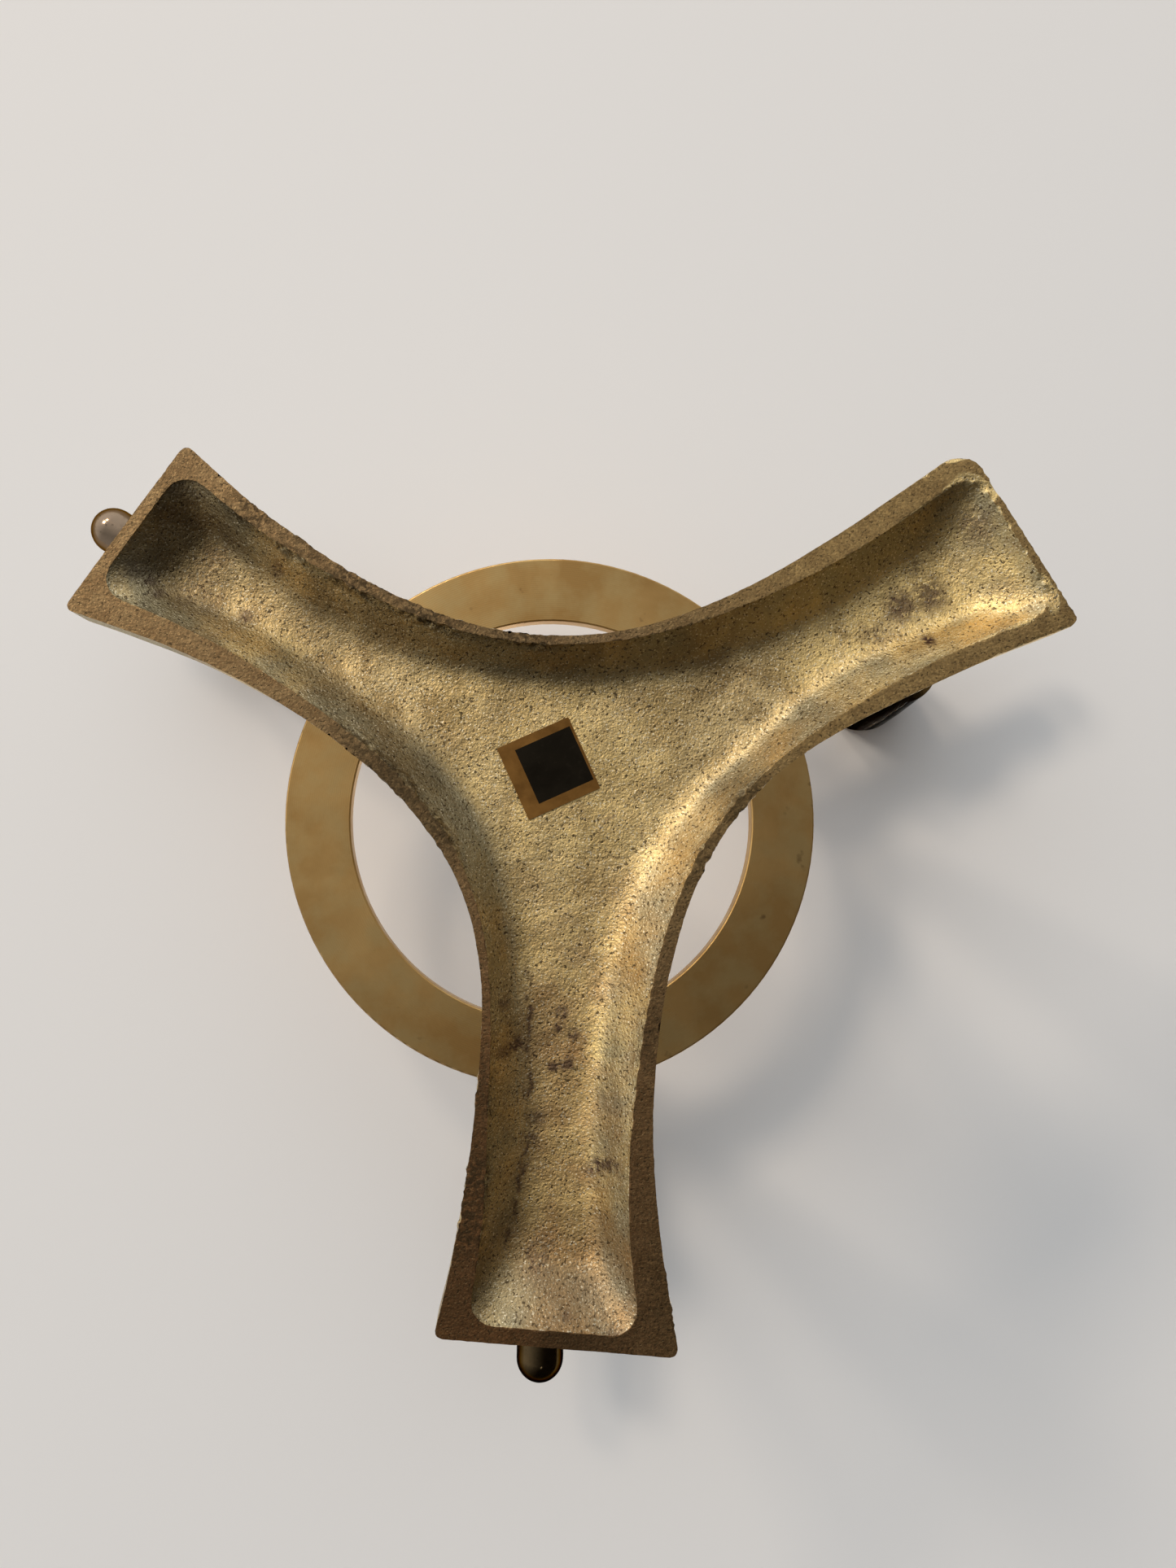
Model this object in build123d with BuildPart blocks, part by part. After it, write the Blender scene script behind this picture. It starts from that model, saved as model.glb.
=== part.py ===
"""Three-light tabletop candelabra in brass: a hollow Y-shaped cast base, three uprights, a flat ring,
and three round arms that each carry a candle cup.

Millimetres, +Z up. The origin is on the ring's axis, in the plane of the base's ground underside.
Each of the three stacks is cast base, foot stud, upright, ring stud, ring and arm. A candle cup, drilled across
for the arm, is slid along it and held by a screw through the bore's floor.
"""

from build123d import *

import os
from dataclasses import dataclass
from math import cos, radians, sin, tan


@dataclass(frozen=True)
class BaseArm:
    """One arm of the cast base, hand-finished, so that the three differ a little."""

    angle: float  # direction from the axis, degrees from +X
    reach: float  # axis to the middle of the end
    end_width: float
    waist_width: float  # width where the arm is narrowest
    waist_reach: float  # axis to the narrowest place
    waist_shift: float  # how far the waist lies to the counter-clockwise side
    end_skew: float  # how far the end is turned from square, degrees
    corner_r: tuple  # outline radius of the clockwise and the counter-clockwise end corner
    flare: tuple  # how far the sides spread at the end, degrees, clockwise side first
    end_land: float  # ground land between the recess and the end
    side_land: tuple  # land along the sides at the end, clockwise side first
    waist_land: tuple  # land along the sides at the waist, clockwise side first
    end_slope: float  # how far the recess wall leans in at the end
    throat: tuple  # two points on the edge between this arm and the next, as distance and direction


# ---- Driving dimensions -------------------------------------------------------------------------

# Cast base
base_arms = {
    "a": BaseArm(
        30.6, 86.2, 33.6, 24.6, 50.0, 0.3, 3.5, (1.0, 1.2), (12.3, 13.2),
        1.8, (4.8, 3.4), (2.6, 1.9), 7.0, ((31.3, 62.0), (29.6, 109.4)),
    ),
    "b": BaseArm(
        149.7, 89.5, 36.4, 29.2, 53.0, -1.0, -1.6, (5.0, 1.5), (5.0, 10.4),
        1.4, (4.4, 4.0), (3.3, 2.7), 9.0, ((28.8, 182.4), (24.8, 214.3)),
    ),
    "c": BaseArm(
        272.0, 89.1, 39.7, 28.9, 50.0, 0.0, 3.9, (1.2, 1.2), (11.5, 14.0),
        2.4, (6.0, 4.8), (3.0, 1.8), 9.5, ((28.5, 305.6), (24.0, 335.4)),
    ),
}
base_height = 11.0
base_top_round = 2.5
recess_depth = 7.5
throat_land = 1.8  # ground land between the recess and the edge in a throat
recess_slope = 6.3  # how far the recess wall leans in along the sides, from its mouth to its floor
mouth_corner_r = 4.0
floor_corner_r = 3.0
boss_d = 17.0  # round pads on top that hold the foot studs
boss_height = 6.0
boss_edge = 1.2

# Foil label on the recess floor
label_side = 13.8
label_thickness = 0.2
label_centre = (4.4, 4.8)
label_turn = 65.6

# Ring
ring_underside = 122.0
ring_od = 144.0
ring_id = 109.2
ring_thickness = 5.0
ring_edge = 0.5

# The three stacks: where each upright meets the ring, degrees from +X
stack_angle = {"a": 33.4, "b": 156.2, "c": 271.2}

# Uprights
foot_reach = 68.0  # axis to the middle of an upright's foot
foot_d = 11.0
head_d = 9.0

# Arms
arm_d = 12.7
arm_tip_reach = 152.5  # axis to the tip of the domed end
saddle_depth = 1.2  # flat cut in the underside, where the arm sits on the ring
arm_inner_reach = 56.5

# Candle cups
overall_height = 165.0
cup_reach = 107.5  # axis to the middle of a cup
cup_rim_d = 27.6
cup_shoulder_d = 25.2  # level with the bore's floor, where the wall turns in to the bottom
cup_bottom_d = 20.0
cup_below_arm = 2.4  # thickness of the cup's bottom under the arm
cup_bottom_edge = 1.5
cup_bore_d = 22.2
cup_bore_depth = 15.0
cup_lip_round = 0.8

# Fasteners
foot_stud_d = 6.0
foot_stud_in_base = 6.5
foot_stud_in_upright = 9.0
ring_stud_d = 5.0
ring_stud_in_upright = 9.0
ring_stud_in_arm = 8.0
cup_screw_d = 4.0
cup_screw_in_arm = 8.0
cup_screw_head_d = 8.0
cup_screw_head_height = 2.3
cup_screw_slot_width = 1.2
cup_screw_slot_depth = 1.0
hole_clearance = 0.05  # on the radius, round every stud and screw
hole_runout = 0.6  # extra depth of each blind hole past the end of its stud or screw

# ---- Sizes that follow --------------------------------------------------------------------------

boss_top = base_height + boss_height
ring_top = ring_underside + ring_thickness
ring_mid_r = (ring_od + ring_id) / 4
arm_axis_z = ring_top + arm_d / 2 - saddle_depth
arm_bottom = arm_axis_z - arm_d / 2
arm_top = arm_axis_z + arm_d / 2
cup_bottom = arm_bottom - cup_below_arm
cup_bore_floor = overall_height - cup_bore_depth
cup_head_seat = cup_bore_floor - cup_screw_head_height - hole_runout


def polar(reach, angle):
    """The X and Y of a point at a distance from the axis, in a direction in degrees."""
    return (reach * cos(radians(angle)), reach * sin(radians(angle)))


def beside(arm, along, across):
    """A point along a base arm and to its counter-clockwise side."""
    turn = radians(arm.angle)
    return (along * cos(turn) - across * sin(turn), along * sin(turn) + across * cos(turn))


def end_corner(arm, side, end_in=0, side_in=0):
    """A corner of a base arm's end, moved in from the edges. side is 1 or -1, counter-clockwise first."""
    across = side * (arm.end_width / 2 - side_in)
    return beside(arm, arm.reach - end_in - across * tan(radians(arm.end_skew)), across)


def waist(arm, side, side_in=0):
    """The point on an arm's side where it is narrowest, moved in from the edge."""
    return beside(arm, arm.waist_reach, arm.waist_shift + side * (arm.waist_width / 2 - side_in))


def y_outline(inset=lambda arm, side: (0, 0, 0), throat_in=0):
    """Draws the base's Y-shaped outline in the open line builder, moved in from the outer edges.

    inset gives, for an arm and a side, how far to move in at the end, along the side at the end, and at the waist.
    """
    arms = list(base_arms.values())
    for arm, following in zip(arms, arms[1:] + arms[:1]):
        end_in, side_in, waist_in = inset(arm, 1)
        next_end_in, next_side_in, next_waist_in = inset(following, -1)
        Spline(
            end_corner(arm, 1, end_in, side_in),
            waist(arm, 1, waist_in),
            *(polar(reach - throat_in, angle) for reach, angle in arm.throat),
            waist(following, -1, next_waist_in),
            end_corner(following, -1, next_end_in, next_side_in),
            tangents=(polar(-1, arm.angle + arm.flare[1]), polar(1, following.angle - following.flare[0])),
        )
        Line(end_corner(arm, -1, *inset(arm, -1)[:2]), end_corner(arm, 1, end_in, side_in))


def mouth_inset(arm, side):
    """How far the recess's mouth lies in from an arm's edges."""
    hand = 0 if side < 0 else 1
    return (arm.end_land, arm.side_land[hand], arm.waist_land[hand])


def floor_inset(arm, side):
    """How far the recess's floor lies in from an arm's edges."""
    end_in, side_in, waist_in = mouth_inset(arm, side)
    return (end_in + arm.end_slope, side_in + recess_slope, waist_in + recess_slope)


# ---- Cast base ----------------------------------------------------------------------------------

with BuildPart() as base:
    with BuildSketch(Plane.XY) as outline:
        with BuildLine():
            y_outline()
        make_face()
        for arm in base_arms.values():
            for side, radius in zip((-1, 1), arm.corner_r):
                corner = end_corner(arm, side)
                fillet(outline.vertices().sort_by_distance(corner)[0], radius)
    extrude(amount=base_height)
    fillet(base.faces().sort_by(Axis.Z)[-1].edges(), base_top_round)
    for arm in base_arms.values():
        with BuildSketch(Plane.XY.offset(base_height)):
            with Locations(polar(foot_reach, arm.angle)):
                Circle(boss_d / 2)
        extrude(amount=boss_height)
    chamfer(base.faces().sort_by(Axis.Z)[-3:].edges(), boss_edge)
    with BuildSketch(Plane.XY) as recess_mouth:
        with BuildLine():
            y_outline(mouth_inset, throat_land)
        make_face()
        fillet(recess_mouth.vertices(), mouth_corner_r)
    with BuildSketch(Plane.XY.offset(recess_depth)) as recess_floor:
        with BuildLine():
            y_outline(floor_inset, throat_land + recess_slope)
        make_face()
        fillet(recess_floor.vertices(), floor_corner_r)
    loft(mode=Mode.SUBTRACT)
    for arm in base_arms.values():
        with BuildSketch(Plane.XY.offset(boss_top)):
            with Locations(polar(foot_reach, arm.angle)):
                Circle(foot_stud_d / 2 + hole_clearance)
        extrude(amount=-(foot_stud_in_base + hole_runout), mode=Mode.SUBTRACT)
base.part.label = "base"

# ---- Foil label ---------------------------------------------------------------------------------

with BuildPart() as label:
    with BuildSketch(Plane.XY.offset(recess_depth - label_thickness)):
        with Locations(label_centre):
            Rectangle(label_side, label_side, rotation=label_turn)
    extrude(amount=label_thickness)
label.part.label = "label"

# ---- Ring ---------------------------------------------------------------------------------------

with BuildPart() as ring:
    with BuildSketch(Plane.XY.offset(ring_underside)):
        Circle(ring_od / 2)
        Circle(ring_id / 2, mode=Mode.SUBTRACT)
        for angle in stack_angle.values():
            with Locations(polar(ring_mid_r, angle)):
                Circle(ring_stud_d / 2 + hole_clearance, mode=Mode.SUBTRACT)
    extrude(amount=ring_thickness)
    rims = ring.edges().filter_by(GeomType.CIRCLE).filter_by(lambda edge: edge.radius > ring_stud_d)
    fillet(rims, ring_edge)
ring.part.label = "ring"

pieces = {"base": base, "label": label, "ring": ring}

# ---- The three stacks ---------------------------------------------------------------------------

for key, base_arm in base_arms.items():
    foot = polar(foot_reach, base_arm.angle)
    head = polar(ring_mid_r, stack_angle[key])
    along_arm = Plane(
        origin=(0, 0, arm_axis_z),
        x_dir=(*polar(1, stack_angle[key] + 90), 0),
        z_dir=(*polar(1, stack_angle[key]), 0),
    )
    cup_at = polar(cup_reach, stack_angle[key])

    # Upright: a tapered round rod from the boss to the ring, with level ends.
    with BuildPart() as upright:
        with BuildSketch(Plane.XY.offset(boss_top)):
            with Locations(foot):
                Circle(foot_d / 2)
        with BuildSketch(Plane.XY.offset(ring_underside)):
            with Locations(head):
                Circle(head_d / 2)
        loft()
        with BuildSketch(Plane.XY.offset(boss_top)):
            with Locations(foot):
                Circle(foot_stud_d / 2 + hole_clearance)
        extrude(amount=foot_stud_in_upright + hole_runout, mode=Mode.SUBTRACT)
        with BuildSketch(Plane.XY.offset(ring_underside)):
            with Locations(head):
                Circle(ring_stud_d / 2 + hole_clearance)
        extrude(amount=-(ring_stud_in_upright + hole_runout), mode=Mode.SUBTRACT)
    pieces[f"upright_{key}"] = upright

    # Foot stud: screwed into the boss and the upright.
    with BuildPart() as foot_stud:
        with BuildSketch(Plane.XY.offset(boss_top - foot_stud_in_base)):
            with Locations(foot):
                Circle(foot_stud_d / 2)
        extrude(amount=foot_stud_in_base + foot_stud_in_upright)
    pieces[f"foot_stud_{key}"] = foot_stud

    # Ring stud: through the ring, clamping it between the upright and the arm.
    with BuildPart() as ring_stud:
        with BuildSketch(Plane.XY.offset(ring_underside - ring_stud_in_upright)):
            with Locations(head):
                Circle(ring_stud_d / 2)
        extrude(amount=ring_stud_in_upright + ring_thickness + ring_stud_in_arm)
    pieces[f"ring_stud_{key}"] = ring_stud

    # Arm: a round bar with a domed outer end and a saddle on the ring.
    with BuildPart() as arm:
        with BuildSketch(along_arm.offset(arm_inner_reach)):
            Circle(arm_d / 2)
        extrude(amount=arm_tip_reach - arm_d / 2 - arm_inner_reach)
        with Locations((*polar(arm_tip_reach - arm_d / 2, stack_angle[key]), arm_axis_z)):
            Sphere(arm_d / 2)
        with BuildSketch(Plane.XY.offset(ring_top)):
            Circle(ring_od / 2 + hole_clearance)
        extrude(amount=-arm_d, mode=Mode.SUBTRACT)
        with BuildSketch(Plane.XY.offset(ring_top)):
            with Locations(head):
                Circle(ring_stud_d / 2 + hole_clearance)
        extrude(amount=ring_stud_in_arm + hole_runout, mode=Mode.SUBTRACT)
        with BuildSketch(Plane.XY.offset(arm_top)):
            with Locations(cup_at):
                Circle(cup_screw_d / 2 + hole_clearance)
        extrude(amount=-(cup_screw_in_arm + hole_runout), mode=Mode.SUBTRACT)
    pieces[f"arm_{key}"] = arm

    # Candle cup: turned and tapered, with a bore for the candle and a cross hole for the arm.
    with BuildPart() as cup:
        with BuildSketch(Plane.XZ):
            with BuildLine():
                Polyline(
                    (0, cup_bottom),
                    (cup_bottom_d / 2, cup_bottom),
                    (cup_shoulder_d / 2, cup_bore_floor),
                    (cup_rim_d / 2, overall_height),
                    (cup_bore_d / 2, overall_height),
                    (cup_bore_d / 2, cup_bore_floor),
                    (0, cup_bore_floor),
                    close=True,
                )
            make_face()
        revolve(axis=Axis.Z)
        circles = cup.edges().filter_by(GeomType.CIRCLE)
        chamfer(circles.group_by(Axis.Z)[0], cup_bottom_edge)
        fillet(cup.edges().filter_by(GeomType.CIRCLE).group_by(Axis.Z)[-1], cup_lip_round)
        with BuildSketch(along_arm.offset(-cup_rim_d / 2)):
            Circle(arm_d / 2 + hole_clearance)
        extrude(amount=cup_rim_d, mode=Mode.SUBTRACT)
        with BuildSketch(Plane.XY.offset(cup_bore_floor)):
            Circle(cup_screw_head_d / 2 + hole_clearance)
        extrude(amount=cup_head_seat - cup_bore_floor, mode=Mode.SUBTRACT)
        with BuildSketch(Plane.XY.offset(cup_head_seat)):
            Circle(cup_screw_d / 2 + hole_clearance)
        extrude(amount=arm_axis_z - cup_head_seat, mode=Mode.SUBTRACT)
    cup.part = cup.part.moved(Location((*cup_at, 0)))
    pieces[f"cup_{key}"] = cup

    # Cup screw: slotted cheese head, sunk in the bore's floor, down into the arm.
    with BuildPart() as cup_screw:
        with BuildSketch(Plane.XY.offset(arm_top - cup_screw_in_arm)):
            with Locations(cup_at):
                Circle(cup_screw_d / 2)
        extrude(amount=cup_head_seat - (arm_top - cup_screw_in_arm))
        with BuildSketch(Plane.XY.offset(cup_head_seat)):
            with Locations(cup_at):
                Circle(cup_screw_head_d / 2)
        extrude(amount=cup_screw_head_height)
        with BuildSketch(Plane.XY.offset(cup_head_seat + cup_screw_head_height)):
            with Locations(cup_at):
                Rectangle(cup_screw_head_d, cup_screw_slot_width, rotation=stack_angle[key])
        extrude(amount=-cup_screw_slot_depth, mode=Mode.SUBTRACT)
    pieces[f"cup_screw_{key}"] = cup_screw

# ---- Export -------------------------------------------------------------------------------------

os.makedirs("parts", exist_ok=True)
for name, piece in pieces.items():
    piece.part.label = name
    export_step(piece.part, f"parts/{name}.step")
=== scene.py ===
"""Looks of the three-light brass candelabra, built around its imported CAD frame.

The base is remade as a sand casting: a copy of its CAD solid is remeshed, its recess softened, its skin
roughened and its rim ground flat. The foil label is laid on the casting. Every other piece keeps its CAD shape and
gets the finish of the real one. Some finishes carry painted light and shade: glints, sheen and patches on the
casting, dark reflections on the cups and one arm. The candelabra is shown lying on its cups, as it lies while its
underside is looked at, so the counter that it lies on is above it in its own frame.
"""

import logging
import math
from collections.abc import Callable
from dataclasses import dataclass, field
from enum import Enum

import bpy
from mathutils import Matrix, Vector


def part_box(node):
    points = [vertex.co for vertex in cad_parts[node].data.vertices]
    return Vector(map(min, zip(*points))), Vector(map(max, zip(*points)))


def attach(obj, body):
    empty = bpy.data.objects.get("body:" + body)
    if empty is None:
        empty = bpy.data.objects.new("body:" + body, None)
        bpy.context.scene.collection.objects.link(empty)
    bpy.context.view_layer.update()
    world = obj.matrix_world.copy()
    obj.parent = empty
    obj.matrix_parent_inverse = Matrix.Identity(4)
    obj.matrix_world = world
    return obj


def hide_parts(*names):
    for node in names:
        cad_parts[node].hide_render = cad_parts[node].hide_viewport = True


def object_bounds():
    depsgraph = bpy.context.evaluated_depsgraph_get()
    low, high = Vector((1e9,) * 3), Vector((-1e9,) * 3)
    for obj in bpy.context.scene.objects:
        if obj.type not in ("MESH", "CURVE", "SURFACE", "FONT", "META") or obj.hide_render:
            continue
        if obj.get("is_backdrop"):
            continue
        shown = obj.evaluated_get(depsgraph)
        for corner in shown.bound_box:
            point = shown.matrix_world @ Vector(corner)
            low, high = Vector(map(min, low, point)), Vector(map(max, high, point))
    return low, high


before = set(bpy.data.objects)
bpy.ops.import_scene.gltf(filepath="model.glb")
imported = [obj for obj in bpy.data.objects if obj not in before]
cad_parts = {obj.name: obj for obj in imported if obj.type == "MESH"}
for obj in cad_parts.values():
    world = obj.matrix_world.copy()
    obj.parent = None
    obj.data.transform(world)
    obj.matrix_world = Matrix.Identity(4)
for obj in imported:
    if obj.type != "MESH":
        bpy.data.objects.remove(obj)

LOG = logging.getLogger("candelabra")
MM = 0.001  # metres in a millimetre
BODY = "root"
ARM_KEYS = ("a", "b", "c")

Tree = bpy.types.NodeTree
Socket = bpy.types.NodeSocket
Value = float | Socket
Spots = tuple[tuple[float, float, float, float], ...]  # each an X, a Y and a radius in millimetres, and a strength


class Finish(Enum):
    """The record's material slots."""

    CAST = "cast_brass"
    SATIN = "satin_brass"
    POLISHED = "polished_brass"
    STEEL = "steel_fasteners"
    FOIL = "foil_label"


# ---- Small helpers ------------------------------------------------------------------------------


def linear(code: str) -> tuple[float, float, float, float]:
    """Turns an sRGB hex colour to the linear colour that the shaders take.

    Args:
        code: Six hex digits after a hash, such as "#c8b27a".

    Returns:
        Linear red, green, blue and an alpha of 1.
    """
    channels = [int(code[i : i + 2], 16) / 255 for i in (1, 3, 5)]
    return (*[c / 12.92 if c <= 0.04045 else ((c + 0.055) / 1.055) ** 2.4 for c in channels], 1.0)


def add_node(tree: Tree, kind: str, inputs: dict | None = None, **settings) -> bpy.types.Node:
    """Adds a shader node with its settings, its fixed inputs and its links.

    Args:
        tree: The material's node tree.
        kind: The node's type, such as "ShaderNodeTexNoise".
        inputs: Input names or indices, each with a fixed value or the socket that it is linked to.
        **settings: The node's own properties.

    Returns:
        The new node.
    """
    node = tree.nodes.new(kind)
    for name, value in settings.items():
        setattr(node, name, value)
    for key, value in (inputs or {}).items():
        if isinstance(value, Socket):
            tree.links.new(value, node.inputs[key])
        else:
            node.inputs[key].default_value = value
    return node


def select_only(*objects: bpy.types.Object) -> None:
    """Selects these objects alone and makes the first one active."""
    bpy.ops.object.select_all(action="DESELECT")
    for obj in objects:
        obj.select_set(True)
    bpy.context.view_layer.objects.active = objects[0]


def apply_modifier(piece: bpy.types.Object, kind: str, **settings) -> None:
    """Adds a modifier with its settings and applies it.

    Args:
        piece: The mesh object.
        kind: The modifier's type, such as "REMESH".
        **settings: The modifier's own properties.
    """
    modifier = piece.modifiers.new(kind.lower(), kind)
    for name, value in settings.items():
        setattr(modifier, name, value)
    select_only(piece)
    bpy.ops.object.modifier_apply(modifier=modifier.name)


def weigh(piece: bpy.types.Object, name: str, weight_at: Callable[[Vector, Vector], float]) -> str:
    """Makes a vertex group from a function of place and normal.

    Args:
        piece: The mesh object.
        name: The group's name.
        weight_at: Takes a vertex's place and normal and returns its weight, from 0 to 1.

    Returns:
        The group's name, for a modifier to use.
    """
    group = piece.vertex_groups.new(name=name)
    for vertex in piece.data.vertices:
        weight = weight_at(vertex.co, vertex.normal)
        if weight > 0:
            group.add([vertex.index], min(1.0, weight), "REPLACE")
    return group.name


def fade(distance: float, reach: float) -> float:
    """A weight of 1 at no distance, falling smoothly to 0 at reach."""
    share = max(0.0, 1 - distance / reach)
    return share * share * (3 - 2 * share)


# ---- Finishes -----------------------------------------------------------------------------------


@dataclass(frozen=True)
class Metal:
    """What every metal finish here shares: coordinates in millimetres and a principled shader."""

    name: str

    def start(self) -> tuple[bpy.types.Material, Tree, Socket]:
        """Starts an empty node material.

        Returns:
            The material, its node tree and the object coordinates in millimetres.
        """
        material = bpy.data.materials.new(self.name)
        material.use_nodes = True
        tree = material.node_tree
        tree.nodes.clear()
        place = add_node(tree, "ShaderNodeTexCoord").outputs["Object"]
        per_mm = (1 / MM,) * 3
        scaled = add_node(tree, "ShaderNodeMapping", {"Vector": place, "Scale": per_mm})
        return material, tree, scaled.outputs["Vector"]

    def noise(self, tree: Tree, place: Socket, size_mm: float, detail: float = 3.0, low: float = 0.0,
              high: float = 1.0, distortion: float = 0.0) -> Socket:
        """Noise with features of a real size.

        Args:
            tree: The node tree.
            place: Coordinates in millimetres.
            size_mm: The size of its features.
            detail: Octaves of finer noise.
            low: The noise value that becomes 0.
            high: The noise value that becomes 1.
            distortion: How much the pattern is warped.

        Returns:
            A value from 0 to 1.
        """
        texture = add_node(tree, "ShaderNodeTexNoise",
                           {"Vector": place, "Scale": 1 / size_mm, "Detail": detail, "Distortion": distortion})
        return self.ramp(tree, texture.outputs["Fac"], low, high)

    def ramp(self, tree: Tree, value: Socket, low: float, high: float, start: float = 0.0,
             end: float = 1.0) -> Socket:
        """A straight ramp, held at its ends.

        Args:
            tree: The node tree.
            value: What it follows.
            low: The value at which it is at its start.
            high: The value at which it is at its end.
            start: What it gives at low.
            end: What it gives at high.

        Returns:
            A value from start to end.
        """
        return add_node(tree, "ShaderNodeMapRange", {"Value": value, "From Min": low, "From Max": high,
                                                     "To Min": start, "To Max": end}).outputs["Result"]

    def axes(self, tree: Tree, vector: Socket) -> dict[str, Socket]:
        """The X, Y and Z of a vector."""
        outputs = add_node(tree, "ShaderNodeSeparateXYZ", {"Vector": vector}).outputs
        return {axis: outputs[axis] for axis in "XYZ"}

    def bump(self, tree: Tree, height: Socket, strength: float, distance_mm: float) -> Socket:
        """The normal of a skin whose height follows a value."""
        return add_node(tree, "ShaderNodeBump", {"Height": height, "Strength": strength,
                                                 "Distance": distance_mm * MM}).outputs["Normal"]

    def blend(self, tree: Tree, share: Value, below, above) -> Socket:
        """Mixes two colours.

        Args:
            tree: The node tree.
            share: How much of the second colour, a number or a socket.
            below: The first colour, four numbers or a socket.
            above: The second colour, likewise.

        Returns:
            The mixed colour.
        """
        mix = add_node(tree, "ShaderNodeMix", {0: share, 6: below, 7: above}, data_type="RGBA")
        return mix.outputs[2]

    def work(self, tree: Tree, operation: str, first: Value, second: Value = 0.0) -> Socket:
        """One step of arithmetic on numbers or sockets, held between 0 and 1."""
        return add_node(tree, "ShaderNodeMath", {0: first, 1: second}, operation=operation,
                        use_clamp=True).outputs[0]

    def sum(self, tree: Tree, operation: str, *values: Value) -> Socket:
        """One step of arithmetic on numbers or sockets, of any size and sign."""
        return add_node(tree, "ShaderNodeMath", dict(enumerate(values)), operation=operation).outputs[0]

    def close(self, tree: Tree, inputs: dict) -> None:
        """Ends the tree with a principled shader that has these inputs."""
        shader = add_node(tree, "ShaderNodeBsdfPrincipled", inputs)
        add_node(tree, "ShaderNodeOutputMaterial", {"Surface": shader.outputs["BSDF"]})


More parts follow.
